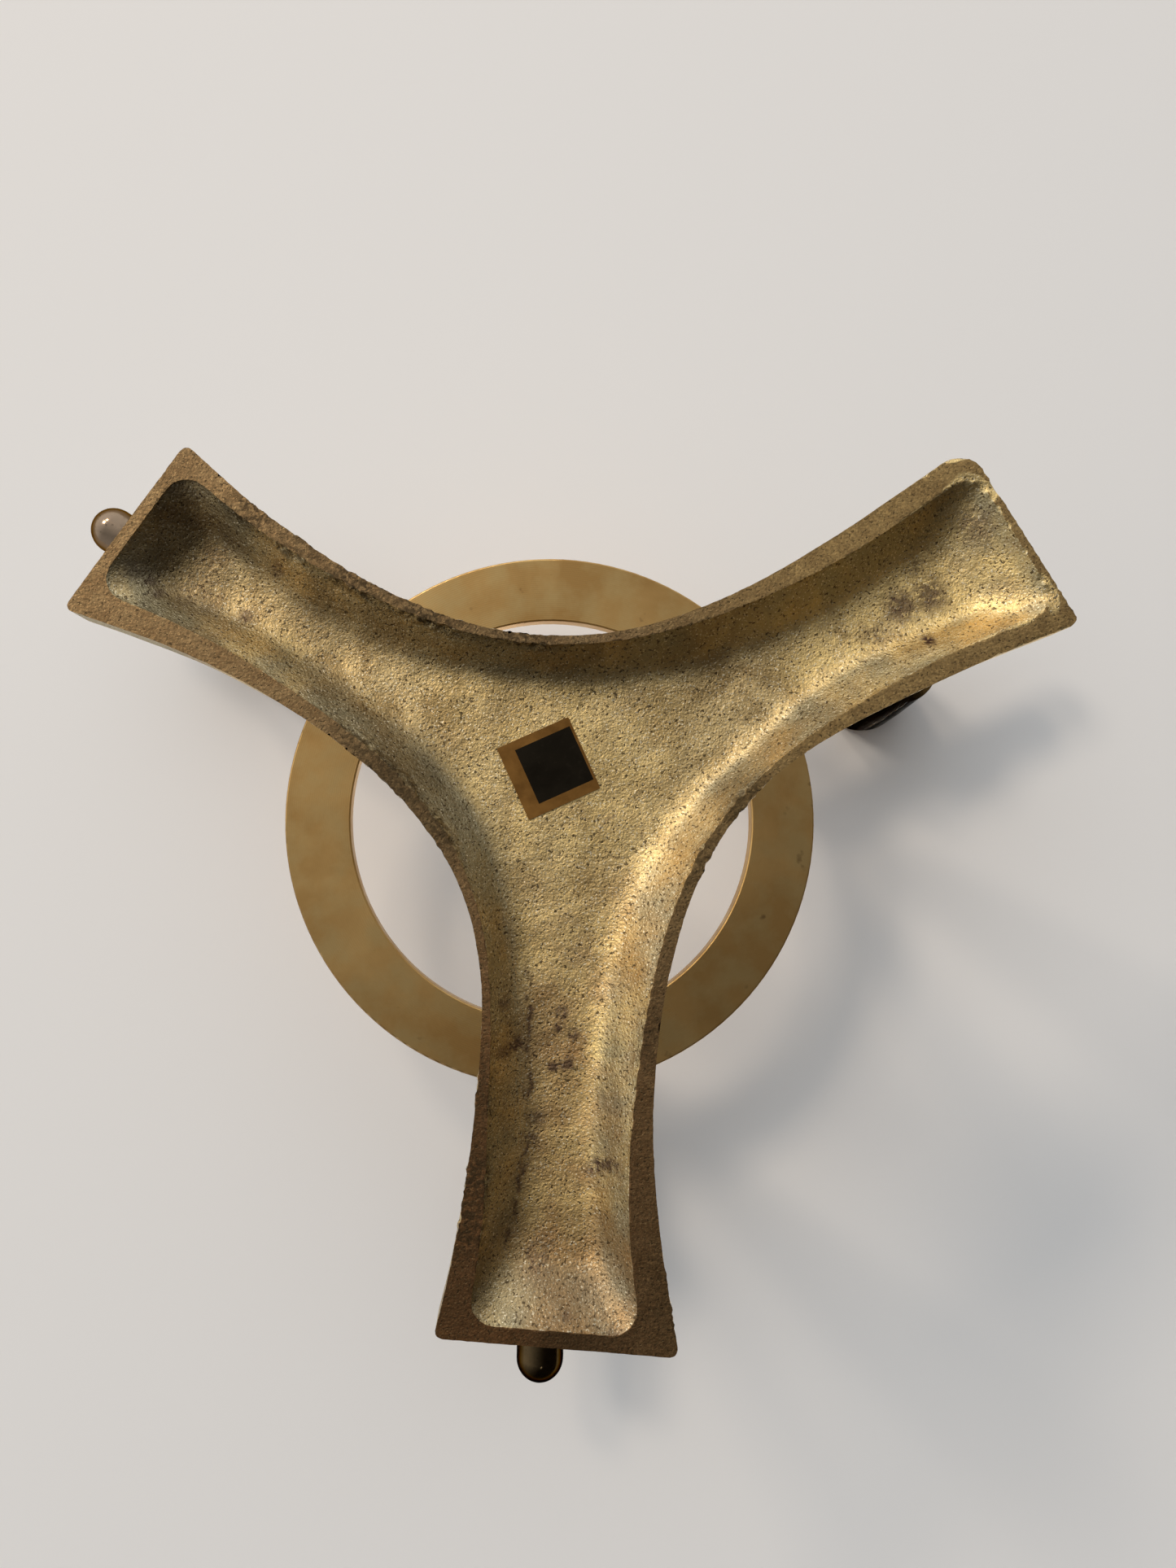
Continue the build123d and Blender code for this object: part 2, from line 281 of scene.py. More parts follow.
@dataclass(frozen=True)
class SandCastBrass(Metal):
    """Sand-cast leaded brass, decades old. The mould's sand leaves a dull grainy skin with pits, and the grain tops
    carry painted glints; where the rim was ground flat the metal is smoother and has gone brown, darkest at arm C.
    The walls carry a painted olive-grey sheen, the cool room reflected in shade, and the floor has violet-brown
    stains.
    Patches that lighten and darken the skin are partly painted light and shade."""

    # the colour of the painted glints on the grain tops
    bright: str = "#f4e3bd"
    metal: str = "#d3b57c"
    patina: str = "#a48757"
    # the colour of the walls' painted sheen: the cool room reflected in shade
    painted_wall_sheen: str = "#9a9478"
    shade: str = "#4a3b27"
    stain: str = "#4f3731"
    red: str = "#b18250"
    # the colour of the brighter patches, partly painted light
    worn: str = "#f2cf86"
    land: str = "#957850"
    land_pale: str = "#c09c62"
    land_dark: str = "#946840"
    rust: str = "#5f3e20"
    grain_mm: float = 0.42  # moulding sand
    lump_mm: float = 1.3
    mottle_mm: float = 8.0
    stains: Spots = (
        (2.1, -36.8, 1.6, 0.8), (2.4, -39.3, 1.3, 0.8), (0.1, -40.4, 1.5, 0.8), (3.6, -45.9, 1.4, 0.8),
        (1.1, -45.4, 2.0, 0.8), (6.2, -54.3, 2.2, 0.6), (7.4, -57.2, 2.2, 0.7), (-4.1, -61.9, 1.8, 0.9),
        (-5.9, -61.4, 1.5, 0.8), (-2.7, -62.6, 1.5, 0.8), (6.1, -77.0, 4.2, 0.5), (-6.4, -88.6, 3.0, 0.6),
        (1.5, -84.6, 1.2, 0.5), (66.0, 48.0, 9.0, 0.3),
        (71.5, 41.0, 9.0, 0.2), (63.0, 34.0, 5.0, 0.35), (9.7, -41.9, 2.2, 0.8),
        (11.8, -34.7, 1.6, 0.5), (12.0, -42.6, 2.0, 0.5),
        (-58.2, 33.8, 4.4, 0.75), (-63.0, 36.2, 4.6, 0.75), (-60.2, 40.6, 3.0, 0.5), (-69.8, 47.4, 4.6, 0.55),
        (-61.7, 27.3, 1.5, 1.0), (-81.7, 40.0, 1.3, 0.8), (-86.2, 32.7, 3.2, 0.5), (-53.0, 28.5, 4.0, 0.45),
        (55.8, 30.6, 2.2, 0.6), (50.3, 38.0, 1.8, 0.5), (71.2, 35.6, 1.4, 0.6), (69.8, 33.6, 1.5, 0.6),
        (61.3, 40.9, 5.0, 0.35), (64.9, 35.0, 5.5, 0.35), (73.0, 38.0, 4.0, 0.4), (53.4, 46.7, 2.4, 0.9),
    )
    darker: Spots = (
        (46.0, 29.0, 9.0, 0.35), (63.0, 39.0, 10.0, 0.4), (0.0, -84.0, 12.0, 0.5), (28.0, 3.0, 10.0, 0.5),
        (19.0, -55.0, 10.0, 0.25), (20.0, -80.0, 10.0, 0.3), (66.0, 54.0, 8.0, 0.2), (24.0, -4.0, 9.0, 0.25),
        (-27.0, 0.0, 7.0, 0.3), (-20.0, 24.0, 7.0, 0.2),
    )  # darker patches, set against brightness readings; partly painted shade, partly darker skin
    brighter: Spots = (
        (-47.0, 28.0, 15.0, 1.0), (-68.0, 40.0, 24.0, 1.0), (-82.0, 44.0, 14.0, 1.0), (-60.0, 22.0, 14.0, 0.6),
        (-8.0, -42.0, 14.0, 1.0), (-9.0, -62.0, 14.0, 0.9), (0.0, 3.0, 28.0, 0.6), (12.0, 22.0, 20.0, 0.35),
        (2.0, -25.0, 18.0, 0.6), (52.0, 22.0, 9.0, 0.7), (1.0, -60.0, 22.0, 0.6),
    )  # brighter patches, set in the same way and as uncertain: partly painted light, partly lighter skin
    struck: Spots = (
        (53.4, 46.7, 6.0, 0.9), (46.0, 41.0, 8.0, 0.7), (36.2, 35.5, 9.0, 0.9), (25.0, 29.0, 10.0, 0.9),
        (9.3, 25.6, 9.0, 0.8), (19.8, -4.7, 9.0, 0.8), (27.9, 3.3, 9.0, 0.8), (35.0, 7.0, 9.0, 0.7),
        (17.2, -62.3, 7.0, 0.8), (19.0, -69.0, 8.0, 0.8), (18.0, -48.0, 9.0, 0.6), (-15.5, -77.0, 6.0, 0.4),
        (-16.0, -84.0, 6.0, 0.4), (-29.0, -2.0, 8.0, 0.6), (-22.5, -12.0, 8.0, 0.6), (-14.0, -40.0, 7.0, 0.5),
    )  # torn stretches of the rim's edge, which are darker
    seam: tuple = (7.6, -55.0, 0.17, -27.0, -78.0)  # X, the Y where it bends, its slope past there, and its ends
    scratch: tuple = (-8.0, -6.9, 3.7)  # centre and radius of a faint curled scratch

    def spot(self, tree: Tree, flat: Socket, x: float, y: float, radius: float, strength: float) -> Socket:
        """A round patch that fades outwards, around a point of the plan."""
        away = add_node(tree, "ShaderNodeVectorMath", {0: flat, 1: (x, y, 0.0)}, operation="DISTANCE")
        return self.ramp(tree, away.outputs["Value"], 0.35 * radius, radius, strength, 0.0)

    def band(self, tree: Tree, value: Socket, middle: Value, width: float) -> Socket:
        """A value of 1 where a value is near the middle, falling to 0 at the width from it."""
        off = self.sum(tree, "ABSOLUTE", self.sum(tree, "SUBTRACT", value, middle))
        return self.ramp(tree, off, 0.0, width, 1.0, 0.0)

    def spots(self, tree: Tree, flat: Socket, places: Spots) -> Socket:
        """The strongest of several round patches, everywhere in the plan."""
        mask = 0.0
        for spot in places:
            mask = self.work(tree, "MAXIMUM", mask, self.spot(tree, flat, *spot))
        return mask

    def seam_mark(self, tree: Tree, place: Socket, axes: dict[str, Socket]) -> Socket:
        """The dark wavering seam along arm C, from 0 to 1."""
        x, bend, slope, start, end = self.seam
        past = self.sum(tree, "SUBTRACT", bend, axes["Y"])
        past = self.sum(tree, "MAXIMUM", past, 0.0)
        waver = add_node(tree, "ShaderNodeTexNoise", {"Vector": place, "Scale": 0.3, "Detail": 4.0})
        line = self.sum(tree, "MULTIPLY_ADD", past, slope, x)
        line = self.sum(tree, "MULTIPLY_ADD", waver.outputs["Fac"], 4.0, line)
        line = self.sum(tree, "SUBTRACT", line, 2.0)
        seam = self.band(tree, axes["X"], line, 0.9)
        for low, high in ((start, start - 4), (end, end + 6)):
            seam = self.work(tree, "MULTIPLY", seam, self.ramp(tree, axes["Y"], low, high))
        return self.work(tree, "MULTIPLY", seam, self.noise(tree, place, 2.2, 5.0, 0.4, 0.55))

    def marks(self, tree: Tree, place: Socket, axes: dict[str, Socket], flat: Socket) -> Socket:
        """Where the stains, the seam and the scratch are, from 0 to 1."""
        mask = self.work(tree, "MULTIPLY", self.spots(tree, flat, self.stains),
                         self.noise(tree, place, 1.5, 5.0, 0.34, 0.5, 0.8))
        seam = self.seam_mark(tree, place, axes)
        mask = self.work(tree, "MAXIMUM", mask, self.work(tree, "MULTIPLY", seam, 0.8))
        x, y, radius = self.scratch
        away = add_node(tree, "ShaderNodeVectorMath", {0: flat, 1: (x, y, 0.0)}, operation="DISTANCE")
        curl = self.band(tree, away.outputs["Value"], radius, 0.35)
        curl = self.work(tree, "MULTIPLY", curl, self.noise(tree, place, 3.0, 2.0, 0.45, 0.6))
        return self.work(tree, "MAXIMUM", mask, self.work(tree, "MULTIPLY", curl, 0.5))

    def cast_skin(self, tree: Tree, place: Socket, axes: dict[str, Socket], flat: Socket, pits: Socket,
                  painted_glints: Socket) -> Socket:
        """The colour of the skin that the mould left, with painted sheen, painted glints and patches of painted
        light.

        Args:
            tree: The node tree.
            place: Coordinates in millimetres.
            axes: Their X, Y and Z.
            flat: Their X and Y, for the plan.
            pits: Where the small pits are.
            painted_glints: Where the painted glints on the grain tops are.

        Returns:
            The colour.
        """
        facing = self.axes(tree, add_node(tree, "ShaderNodeNewGeometry").outputs["Normal"])
        wall = self.ramp(tree, facing["Z"], -0.97, -0.75)
        skin = self.blend(tree, self.noise(tree, place, self.mottle_mm, 5.0, 0.36, 0.64, 0.6),
                          linear(self.patina), linear(self.metal))
        rusty = self.work(tree, "MULTIPLY", self.ramp(tree, axes["Y"], -8.0, -45.0),
                          self.ramp(tree, axes["X"], 13.0, 4.0))
        skin = self.blend(tree, self.work(tree, "MULTIPLY", rusty, 0.7), skin, linear(self.red))
        # the brighter patches: partly painted light and highlight
        lighter = self.work(tree, "MULTIPLY", self.spots(tree, flat, self.brighter),
                            self.noise(tree, place, 5.0, 4.0, 0.25, 0.6))
        skin = self.blend(tree, lighter, skin, linear(self.worn))
        # painted sheen: the walls, found by their facing, take the olive-grey reflection of the cool room in shade
        painted_wall_sheen = self.work(tree, "MULTIPLY", wall, self.noise(tree, place, 12.0, 4.0, 0.32, 0.6))
        skin = self.blend(tree, self.work(tree, "MULTIPLY", painted_wall_sheen, 0.7), skin, linear(self.painted_wall_sheen))
        # painted glints: bright specks of highlight on the grain tops
        skin = self.blend(tree, self.work(tree, "MULTIPLY", painted_glints, 0.8), skin, linear(self.bright))
        skin = self.blend(tree, self.work(tree, "MULTIPLY", pits, 0.85), skin, linear(self.shade))
        return self.blend(tree, self.marks(tree, place, axes, flat), skin, linear(self.stain))

    def struck_rim(self, tree: Tree, place: Socket, axes: dict[str, Socket], pits: Socket,
                   painted_glints: Socket) -> Socket:
        """The colour of the rim: tan at arm A, paler at arm B and rust-brown at arm C, with sandy dirt."""
        brown = self.work(tree, "MULTIPLY", self.ramp(tree, axes["Y"], -5.0, -50.0),
                          self.ramp(tree, axes["X"], -32.0, 10.0))
        towards_b = self.ramp(tree, axes["X"], -8.0, -40.0)
        tan = self.blend(tree, towards_b, linear(self.land), linear(self.land_pale))
        tan = self.blend(tree, brown, tan, linear(self.land_dark))
        patches = self.noise(tree, place, 3.0, 5.0, 0.3, 0.7)
        sandy = self.work(tree, "MULTIPLY", self.noise(tree, place, 0.6, 3.0, 0.35, 0.65), 0.45)
        rim = self.blend(tree, self.work(tree, "MULTIPLY", patches, 0.45), tan, linear(self.rust))
        rim = self.blend(tree, sandy, rim, linear(self.shade))
        rim = self.blend(tree, self.work(tree, "MULTIPLY", pits, 0.8), rim, linear(self.shade))
        # painted glints on the rim's grain as well
        return self.blend(tree, self.work(tree, "MULTIPLY", painted_glints, 0.25), rim, linear(self.metal))

    def build(self) -> bpy.types.Material:
        """Makes the material.

        Returns:
            The material, for the cast base.
        """
        material, tree, place = self.start()
        axes = self.axes(tree, place)
        flat = add_node(tree, "ShaderNodeCombineXYZ", {"X": axes["X"], "Y": axes["Y"]}).outputs[0]
        ground = self.ramp(tree, axes["Z"], 0.06, 0.02)
        grain = self.noise(tree, place, self.grain_mm, 2.0, 0.3, 0.7)
        lumps = self.noise(tree, place, self.lump_mm, 4.0, 0.35, 0.68)
        pits = self.noise(tree, place, self.grain_mm * 1.3, 2.0, 0.585, 0.67)
        # where the painted glints go
        painted_glints = self.noise(tree, place, self.grain_mm * 0.8, 1.0, 0.61, 0.7)

        colour = self.blend(tree, ground, self.cast_skin(tree, place, axes, flat, pits, painted_glints),
                            self.struck_rim(tree, place, axes, pits, painted_glints))
        edge = self.work(tree, "MULTIPLY", self.spots(tree, flat, self.struck),
                         self.noise(tree, place, 0.9, 4.0, 0.4, 0.56, 0.6))
        edge = self.work(tree, "MULTIPLY", edge, self.ramp(tree, axes["Z"], 1.8, 0.6))
        colour = self.blend(tree, edge, colour, linear(self.shade))
        # the darker patches: partly painted shade
        colour = self.blend(tree, self.spots(tree, flat, self.darker), colour, linear(self.shade))

        relief = self.work(tree, "ADD", self.work(tree, "MULTIPLY", grain, 0.5),
                           self.work(tree, "MULTIPLY", lumps, 0.5))
        relief = self.work(tree, "SUBTRACT", relief, self.work(tree, "MULTIPLY", pits, 0.4))
        relief = self.work(tree, "MULTIPLY", relief, self.ramp(tree, ground, 1.8, 0.0))
        self.close(tree, {"Base Color": colour, "Metallic": 1.0,
                          "Roughness": self.ramp(tree, grain, 0.0, 1.0, 0.56, 0.42),
                          "Normal": self.bump(tree, relief, 0.5, 0.22)})
        return material


@dataclass(frozen=True)
class SatinBrass(Metal):
    """Rolled brass sheet, turned to a ring and rubbed to a satin face. Fine rings follow the lathe, and handling
    has left soft brown patches and a few dark spots of tarnish."""

    metal: str = "#b8935a"
    brown: str = "#a17c47"
    pale: str = "#c6a66c"
    spot: str = "#6b4f30"
    turning_mm: float = 0.9  # lathe lines are nearer 0.1 mm; drawn coarser, so that they show

    def build(self) -> bpy.types.Material:
        """Makes the material.

        Returns:
            The material, for the ring.
        """
        material, tree, place = self.start()
        patches = self.noise(tree, place, 26.0, 4.0, 0.36, 0.62, 0.4)
        haze = self.noise(tree, place, 8.0, 5.0, 0.42, 0.66)
        spots = self.noise(tree, place, 5.5, 3.0, 0.68, 0.76)
        lines = add_node(tree, "ShaderNodeTexWave", {"Vector": place, "Scale": 0.5 / self.turning_mm,
                                                     "Distortion": 0.4, "Detail": 2.0, "Detail Scale": 3.0},
                         wave_type="RINGS", rings_direction="Z").outputs["Fac"]
        colour = self.blend(tree, patches, linear(self.brown), linear(self.metal))
        colour = self.blend(tree, self.work(tree, "MULTIPLY", haze, 0.45), colour, linear(self.pale))
        colour = self.blend(tree, self.work(tree, "MULTIPLY", spots, 0.7), colour, linear(self.spot))
        self.close(tree, {"Base Color": colour, "Metallic": 1.0,
                          "Roughness": self.ramp(tree, haze, 0.0, 1.0, 0.46, 0.34),
                          "Normal": self.bump(tree, lines, 0.12, 0.05)})
        return material


@dataclass(frozen=True)
class PolishedBrass(Metal):
    """Turned brass bar, once polished bright: clear reflections under a thin brown film that is thicker in patches,
    with faint wiping marks. Its dark colour is partly tarnish and partly painted dark reflection."""

    # dark colours, partly painted dark reflection
    metal: str = "#85705a"
    film: str = "#524433"
    dark: str = "#2a231b"
    edge: str = "#a59074"  # the colour that glancing reflections keep under the film
    wipe_mm: float = 1.1

    def build(self) -> bpy.types.Material:
        """Makes the material.

        Returns:
            The material, for the arms, cups and uprights.
        """
        material, tree, place = self.start()
        film = self.noise(tree, place, 11.0, 5.0, 0.4, 0.66, 0.5)
        flecks = self.noise(tree, place, 1.4, 3.0, 0.64, 0.74)
        stretched = add_node(tree, "ShaderNodeMapping", {"Vector": place, "Scale": (1.0, 1.0, 0.1)})
        wipes = self.noise(tree, stretched.outputs["Vector"], self.wipe_mm, 4.0, 0.35, 0.65)
        colour = self.blend(tree, film, linear(self.metal), linear(self.film))
        colour = self.blend(tree, self.work(tree, "MULTIPLY", flecks, 0.55), colour, linear(self.dark))
        smear = self.work(tree, "ADD", self.work(tree, "MULTIPLY", film, 0.6),
                          self.work(tree, "MULTIPLY", wipes, 0.4))
        self.close(tree, {"Base Color": colour, "Metallic": 1.0,
                          "Roughness": self.ramp(tree, smear, 0.0, 1.0, 0.12, 0.34),
                          "Specular Tint": linear(self.edge), "Normal": self.bump(tree, wipes, 0.08, 0.05)})
        return material


@dataclass(frozen=True)
class TurnedSteel(Metal):
    """Plain turned steel screws and studs: grey, with fine lathe lines and a little rust-brown in the hollows."""

    metal: str = "#9a968e"
    rust: str = "#6b5138"

    def build(self) -> bpy.types.Material:
        """Makes the material.

        Returns:
            The material, for the studs and screws.
        """
        material, tree, place = self.start()
        rust = self.noise(tree, place, 1.8, 4.0, 0.52, 0.7)
        colour = self.blend(tree, self.work(tree, "MULTIPLY", rust, 0.7), linear(self.metal), linear(self.rust))
        lines = self.noise(tree, place, 0.35, 2.0)
        self.close(tree, {"Base Color": colour, "Metallic": 1.0,
                          "Roughness": self.ramp(tree, rust, 0.0, 1.0, 0.3, 0.55),
                          "Normal": self.bump(tree, lines, 0.15, 0.04)})
        return material


@dataclass(frozen=True)
class PrintedFoil(Metal):
    """Gold-coloured foil label with a printed black panel, rubbed and yellowed. The foil's border shows metal under
    a worn lacquer, and the ink is a smooth black coat. The panel is blank."""

    gold: str = "#8c612e"
    worn: str = "#714d23"
    ink: str = "#050403"
    scuff: str = "#191510"
    lacquer: str = "#f0d2a4"  # the yellowed coat, in reflections
    centre_mm: tuple = (4.4, 4.8)
    turn_deg: float = 65.6
    panel_low: tuple = (-4.9, -4.0)  # the panel's corners from the label's centre, in millimetres
    panel_high: tuple = (5.2, 6.3)

    def build(self) -> bpy.types.Material:
        """Makes the material.

        Returns:
            The material, for the label.
        """
        material, tree, place = self.start()
        turned = add_node(tree, "ShaderNodeMapping",
                          {"Vector": place, "Location": (*self.centre_mm, 0.0),
                           "Rotation": (0.0, 0.0, math.radians(self.turn_deg))}, vector_type="TEXTURE")
        axes = self.axes(tree, turned.outputs["Vector"])
        inside = 1.0
        for axis, low, high in zip(("X", "Y"), self.panel_low, self.panel_high):
            for edge, sense in ((low, "GREATER_THAN"), (high, "LESS_THAN")):
                inside = self.work(tree, "MULTIPLY", inside, self.work(tree, sense, axes[axis], edge))
        rub = self.noise(tree, place, 2.6, 4.0, 0.4, 0.65)
        gold = self.blend(tree, rub, linear(self.gold), linear(self.worn))
        scuffs = self.noise(tree, place, 0.7, 3.0, 0.6, 0.75)
        ink = self.blend(tree, self.work(tree, "MULTIPLY", scuffs, 0.5), linear(self.ink), linear(self.scuff))
        colour = self.blend(tree, inside, gold, ink)
        creases = self.noise(tree, place, 1.8, 4.0)
        self.close(tree, {"Base Color": colour, "Metallic": self.ramp(tree, inside, 0.0, 1.0, 0.8, 0.0),
                          "Roughness": self.ramp(tree, rub, 0.0, 1.0, 0.32, 0.5), "Specular IOR Level": 0.22,
                          "Specular Tint": linear(self.lacquer), "Normal": self.bump(tree, creases, 0.3, 0.1)})
        return material


# ---- Pieces -------------------------------------------------------------------------------------


@dataclass
class CastBase:
    """The Y-shaped base as a sand casting with a ground rim."""

    voxel: float = 0.57 * MM
    spare: float = 1.0 * MM  # metal added under the rim, to be ground off
    recess_soften: int = 177  # rounds of smoothing
    edge_soften: int = 8  # rounds of smoothing, on the soft end's outer edge
    wave: float = 0.6 * MM  # how far the pattern maker's and the mould's unevenness moves the skin
    lump: float = 0.05 * MM
    burr: float = 1.1 * MM  # how far the rim's edge is torn, from its lowest to its highest
    plain_tear: float = 0.12  # the share of that where the edge is sound
    tear_depth: float = 3.0 * MM  # how far from the rim it fades out
    burr_places: tuple = (
        (0.0534, 0.0467, 0.005), (0.0362, 0.0355, 0.009), (0.0250, 0.0290, 0.011), (0.0093, 0.0256, 0.009),
        (0.0198, -0.0047, 0.009), (0.0279, 0.0033, 0.009), (0.0350, 0.0070, 0.008), (0.0172, -0.0623, 0.006),
        (0.0190, -0.0690, 0.007), (-0.0155, -0.0770, 0.005), (-0.0160, -0.0840, 0.005),
        (-0.0290, -0.0020, 0.008), (-0.0225, -0.0120, 0.008), (0.0460, 0.0410, 0.007),
        (0.0180, -0.0480, 0.006),
    )  # X, Y and reach in metres of the ragged stretches of the rim's edge
    mouth_band: float = 2.0 * MM  # how deep in from the rim the recess is fully softened and uneven
    soft_end: tuple = (-0.0765, 0.0443, 0.034)  # X, Y and reach of the end where the recess wall runs out
    soft_rise: float = 0.7 * MM  # how far over the table plane that end stands

    def build(self) -> bpy.types.Object:
        """Makes the casting from a copy of the base's CAD solid.

        Returns:
            The finished piece.
        """
        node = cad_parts["base"]
        piece = bpy.data.objects.new("cast_base", node.data.copy())
        bpy.context.scene.collection.objects.link(piece)
        self.lower_rim(piece)
        apply_modifier(piece, "REMESH", mode="VOXEL", voxel_size=self.voxel, adaptivity=0.0)
        self.soften(piece)
        self.roughen(piece)
        self.grind(piece)
        select_only(piece)
        bpy.ops.object.shade_smooth_by_angle(angle=math.radians(42))
        return piece

    def lower_rim(self, piece: bpy.types.Object) -> None:
        """Merges the copy's loose faces and draws its rim out downwards, so that there is metal to grind off."""
        select_only(piece)
        bpy.ops.object.mode_set(mode="EDIT")
        bpy.ops.mesh.select_mode(type="FACE")
        bpy.ops.mesh.select_all(action="SELECT")
        bpy.ops.mesh.remove_doubles(threshold=0.01 * MM)
        bpy.ops.mesh.select_all(action="DESELECT")
        bpy.ops.object.mode_set(mode="OBJECT")
        for face in piece.data.polygons:
            face.select = face.center.z < 0.01 * MM and face.normal.z < -0.99
        bpy.ops.object.mode_set(mode="EDIT")
        bpy.ops.mesh.extrude_region_move(TRANSFORM_OT_translate={"value": (0, 0, -self.spare)})
        bpy.ops.mesh.select_mode(type="VERT")
        bpy.ops.object.mode_set(mode="OBJECT")

    def near_soft_end(self, co: Vector, stretch: float = 1.0) -> float:
        """A weight of 1 at the soft end, falling to 0 at its reach or at a multiple of it."""
        x, y, reach = self.soft_end
        return fade(math.hypot(co.x - x, co.y - y), stretch * reach)

    def soften(self, piece: bpy.types.Object) -> None:
        """Rounds the recess's corners, as a sand mould leaves them, and runs the wall out at the soft end."""

        def under_soft_end(co: Vector, normal: Vector) -> float:
            return self.near_soft_end(co) if co.z < 2 * MM and normal.z < -0.5 else 0.0

        apply_modifier(piece, "DISPLACE", direction="Z", strength=self.spare + self.soft_rise, mid_level=0.0,
                       vertex_group=weigh(piece, "soft_end", under_soft_end))

        def in_recess(co: Vector, normal: Vector) -> float:
            if normal.z > -0.12:
                return 0.0
            soft = 0.8 * self.near_soft_end(co) if normal.z < -0.8 else 0.0
            return max((co.z - 0.3 * MM) / self.mouth_band, soft)

        apply_modifier(piece, "SMOOTH", factor=0.5, iterations=self.recess_soften,
                       vertex_group=weigh(piece, "recess", in_recess))

        def on_end_edge(co: Vector, normal: Vector) -> float:
            return self.near_soft_end(co, 1.5) if -self.spare < co.z < 2 * MM and normal.z > -0.85 else 0.0

        apply_modifier(piece, "SMOOTH", factor=0.5, iterations=self.edge_soften,
                       vertex_group=weigh(piece, "end_edge", on_end_edge))

    def roughen(self, piece: bpy.types.Object) -> None:
        """Moves the skin as uneven sand does, and tears the rim's edge where it was struck off."""
        piece.vertex_groups.clear()
        skin = weigh(piece, "skin", lambda co, n: max(0.1, co.z / self.mouth_band) if n.z < -0.2 else 0.3)
        self.displace(piece, "mould_wave", 10.0, self.wave, skin)
        self.displace(piece, "mould_lumps", 2.2, self.lump, skin)

        def ragged(co: Vector, normal: Vector) -> float:
            near = max(fade(math.hypot(co.x - x, co.y - y), reach) for x, y, reach in self.burr_places)
            sound = self.plain_tear * (1 - self.near_soft_end(co, 1.5))
            return max(near, sound) * fade(abs(co.z), self.tear_depth)

        self.displace(piece, "torn_edge", 1.3, self.burr, weigh(piece, "ragged", ragged))

    def displace(self, piece: bpy.types.Object, name: str, size_mm: float, strength: float, group: str) -> None:
        """Displaces the skin by a cloud texture.

        Args:
            piece: The casting.
            name: The texture's name.
            size_mm: The size of its lumps.
            strength: The height from its lowest to its highest, in metres.
            group: The vertex group that limits it.
        """
        clouds = bpy.data.textures.new(name, "CLOUDS")
        clouds.noise_scale = size_mm * MM
        clouds.noise_depth = 1
        apply_modifier(piece, "DISPLACE", texture=clouds, texture_coords="LOCAL", strength=strength,
                       mid_level=0.5, vertex_group=group)

    def grind(self, piece: bpy.types.Object) -> None:
        """Grinds the rim: cuts an edge in the table plane and presses what is under it flat on to that plane."""
        select_only(piece)
        bpy.ops.object.mode_set(mode="EDIT")
        bpy.ops.mesh.select_all(action="SELECT")
        bpy.ops.mesh.bisect(plane_co=(0, 0, 0), plane_no=(0, 0, 1))
        bpy.ops.mesh.select_all(action="DESELECT")
        bpy.ops.object.mode_set(mode="OBJECT")
        for vertex in piece.data.vertices:
            vertex.select = vertex.co.z < 0.001 * MM
        bpy.ops.object.mode_set(mode="EDIT")
        bpy.ops.transform.resize(value=(1, 1, 0), center_override=(0, 0, 0))
        bpy.ops.mesh.remove_doubles(threshold=0.08 * MM)
        bpy.ops.object.mode_set(mode="OBJECT")


@dataclass
class FoilLabel:
    """The square foil label, pressed on to the casting's uneven floor."""

    side: float = 13.8 * MM
    thickness: float = 0.1 * MM
    centre: tuple = (4.4 * MM, 4.8 * MM)
    turn: float = math.radians(65.6)
    cells: int = 36

    def build(self, floor: bpy.types.Object) -> bpy.types.Object:
        """Makes the label and lays it on the casting.

        Args:
            floor: The cast base.

        Returns:
            The finished piece.
        """
        bpy.ops.object.select_all(action="DESELECT")
        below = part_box("label")[0].z - 2 * MM
        bpy.ops.mesh.primitive_grid_add(x_subdivisions=self.cells, y_subdivisions=self.cells, size=self.side,
                                        location=(*self.centre, below), rotation=(0, 0, self.turn))
        piece = bpy.context.active_object
        piece.name = "foil_label"
        bpy.ops.object.transform_apply(location=True, rotation=True, scale=True)
        apply_modifier(piece, "SHRINKWRAP", target=floor, wrap_method="PROJECT", use_project_x=False,
                       use_project_y=False, use_project_z=True, use_positive_direction=True,
                       use_negative_direction=False, offset=0.0)
        apply_modifier(piece, "SMOOTH", factor=0.5, iterations=6)
        select_only(piece)
        bpy.ops.object.mode_set(mode="EDIT")
        bpy.ops.mesh.select_all(action="SELECT")
        bpy.ops.transform.translate(value=(0, 0, -0.12 * MM))
        bpy.ops.mesh.flip_normals()
        bpy.ops.object.mode_set(mode="OBJECT")
        apply_modifier(piece, "SOLIDIFY", thickness=self.thickness, offset=1.0)
        select_only(piece)
        bpy.ops.object.shade_smooth_by_angle(angle=math.radians(40))
        return piece


# ---- Stage --------------------------------------------------------------------------------------


@dataclass(frozen=True)
class Lamp:
    """A square area light that points at the candelabra."""

    name: str
    towards: tuple[float, float, float]  # the direction that it is in
    distance: float  # metres
    size: float  # its side, in metres
    power: float  # watts
    colour: str

    def hang(self) -> None:
        """Adds the light."""
        data = bpy.data.lights.new(self.name, "AREA")
        data.size, data.energy, data.color = self.size, self.power, linear(self.colour)[:3]
        light = bpy.data.objects.new(self.name, data)
        light.location = Vector(self.towards).normalized() * self.distance
        light.rotation_euler = light.location.to_track_quat("Z", "Y").to_euler()
        bpy.context.scene.collection.objects.link(light)


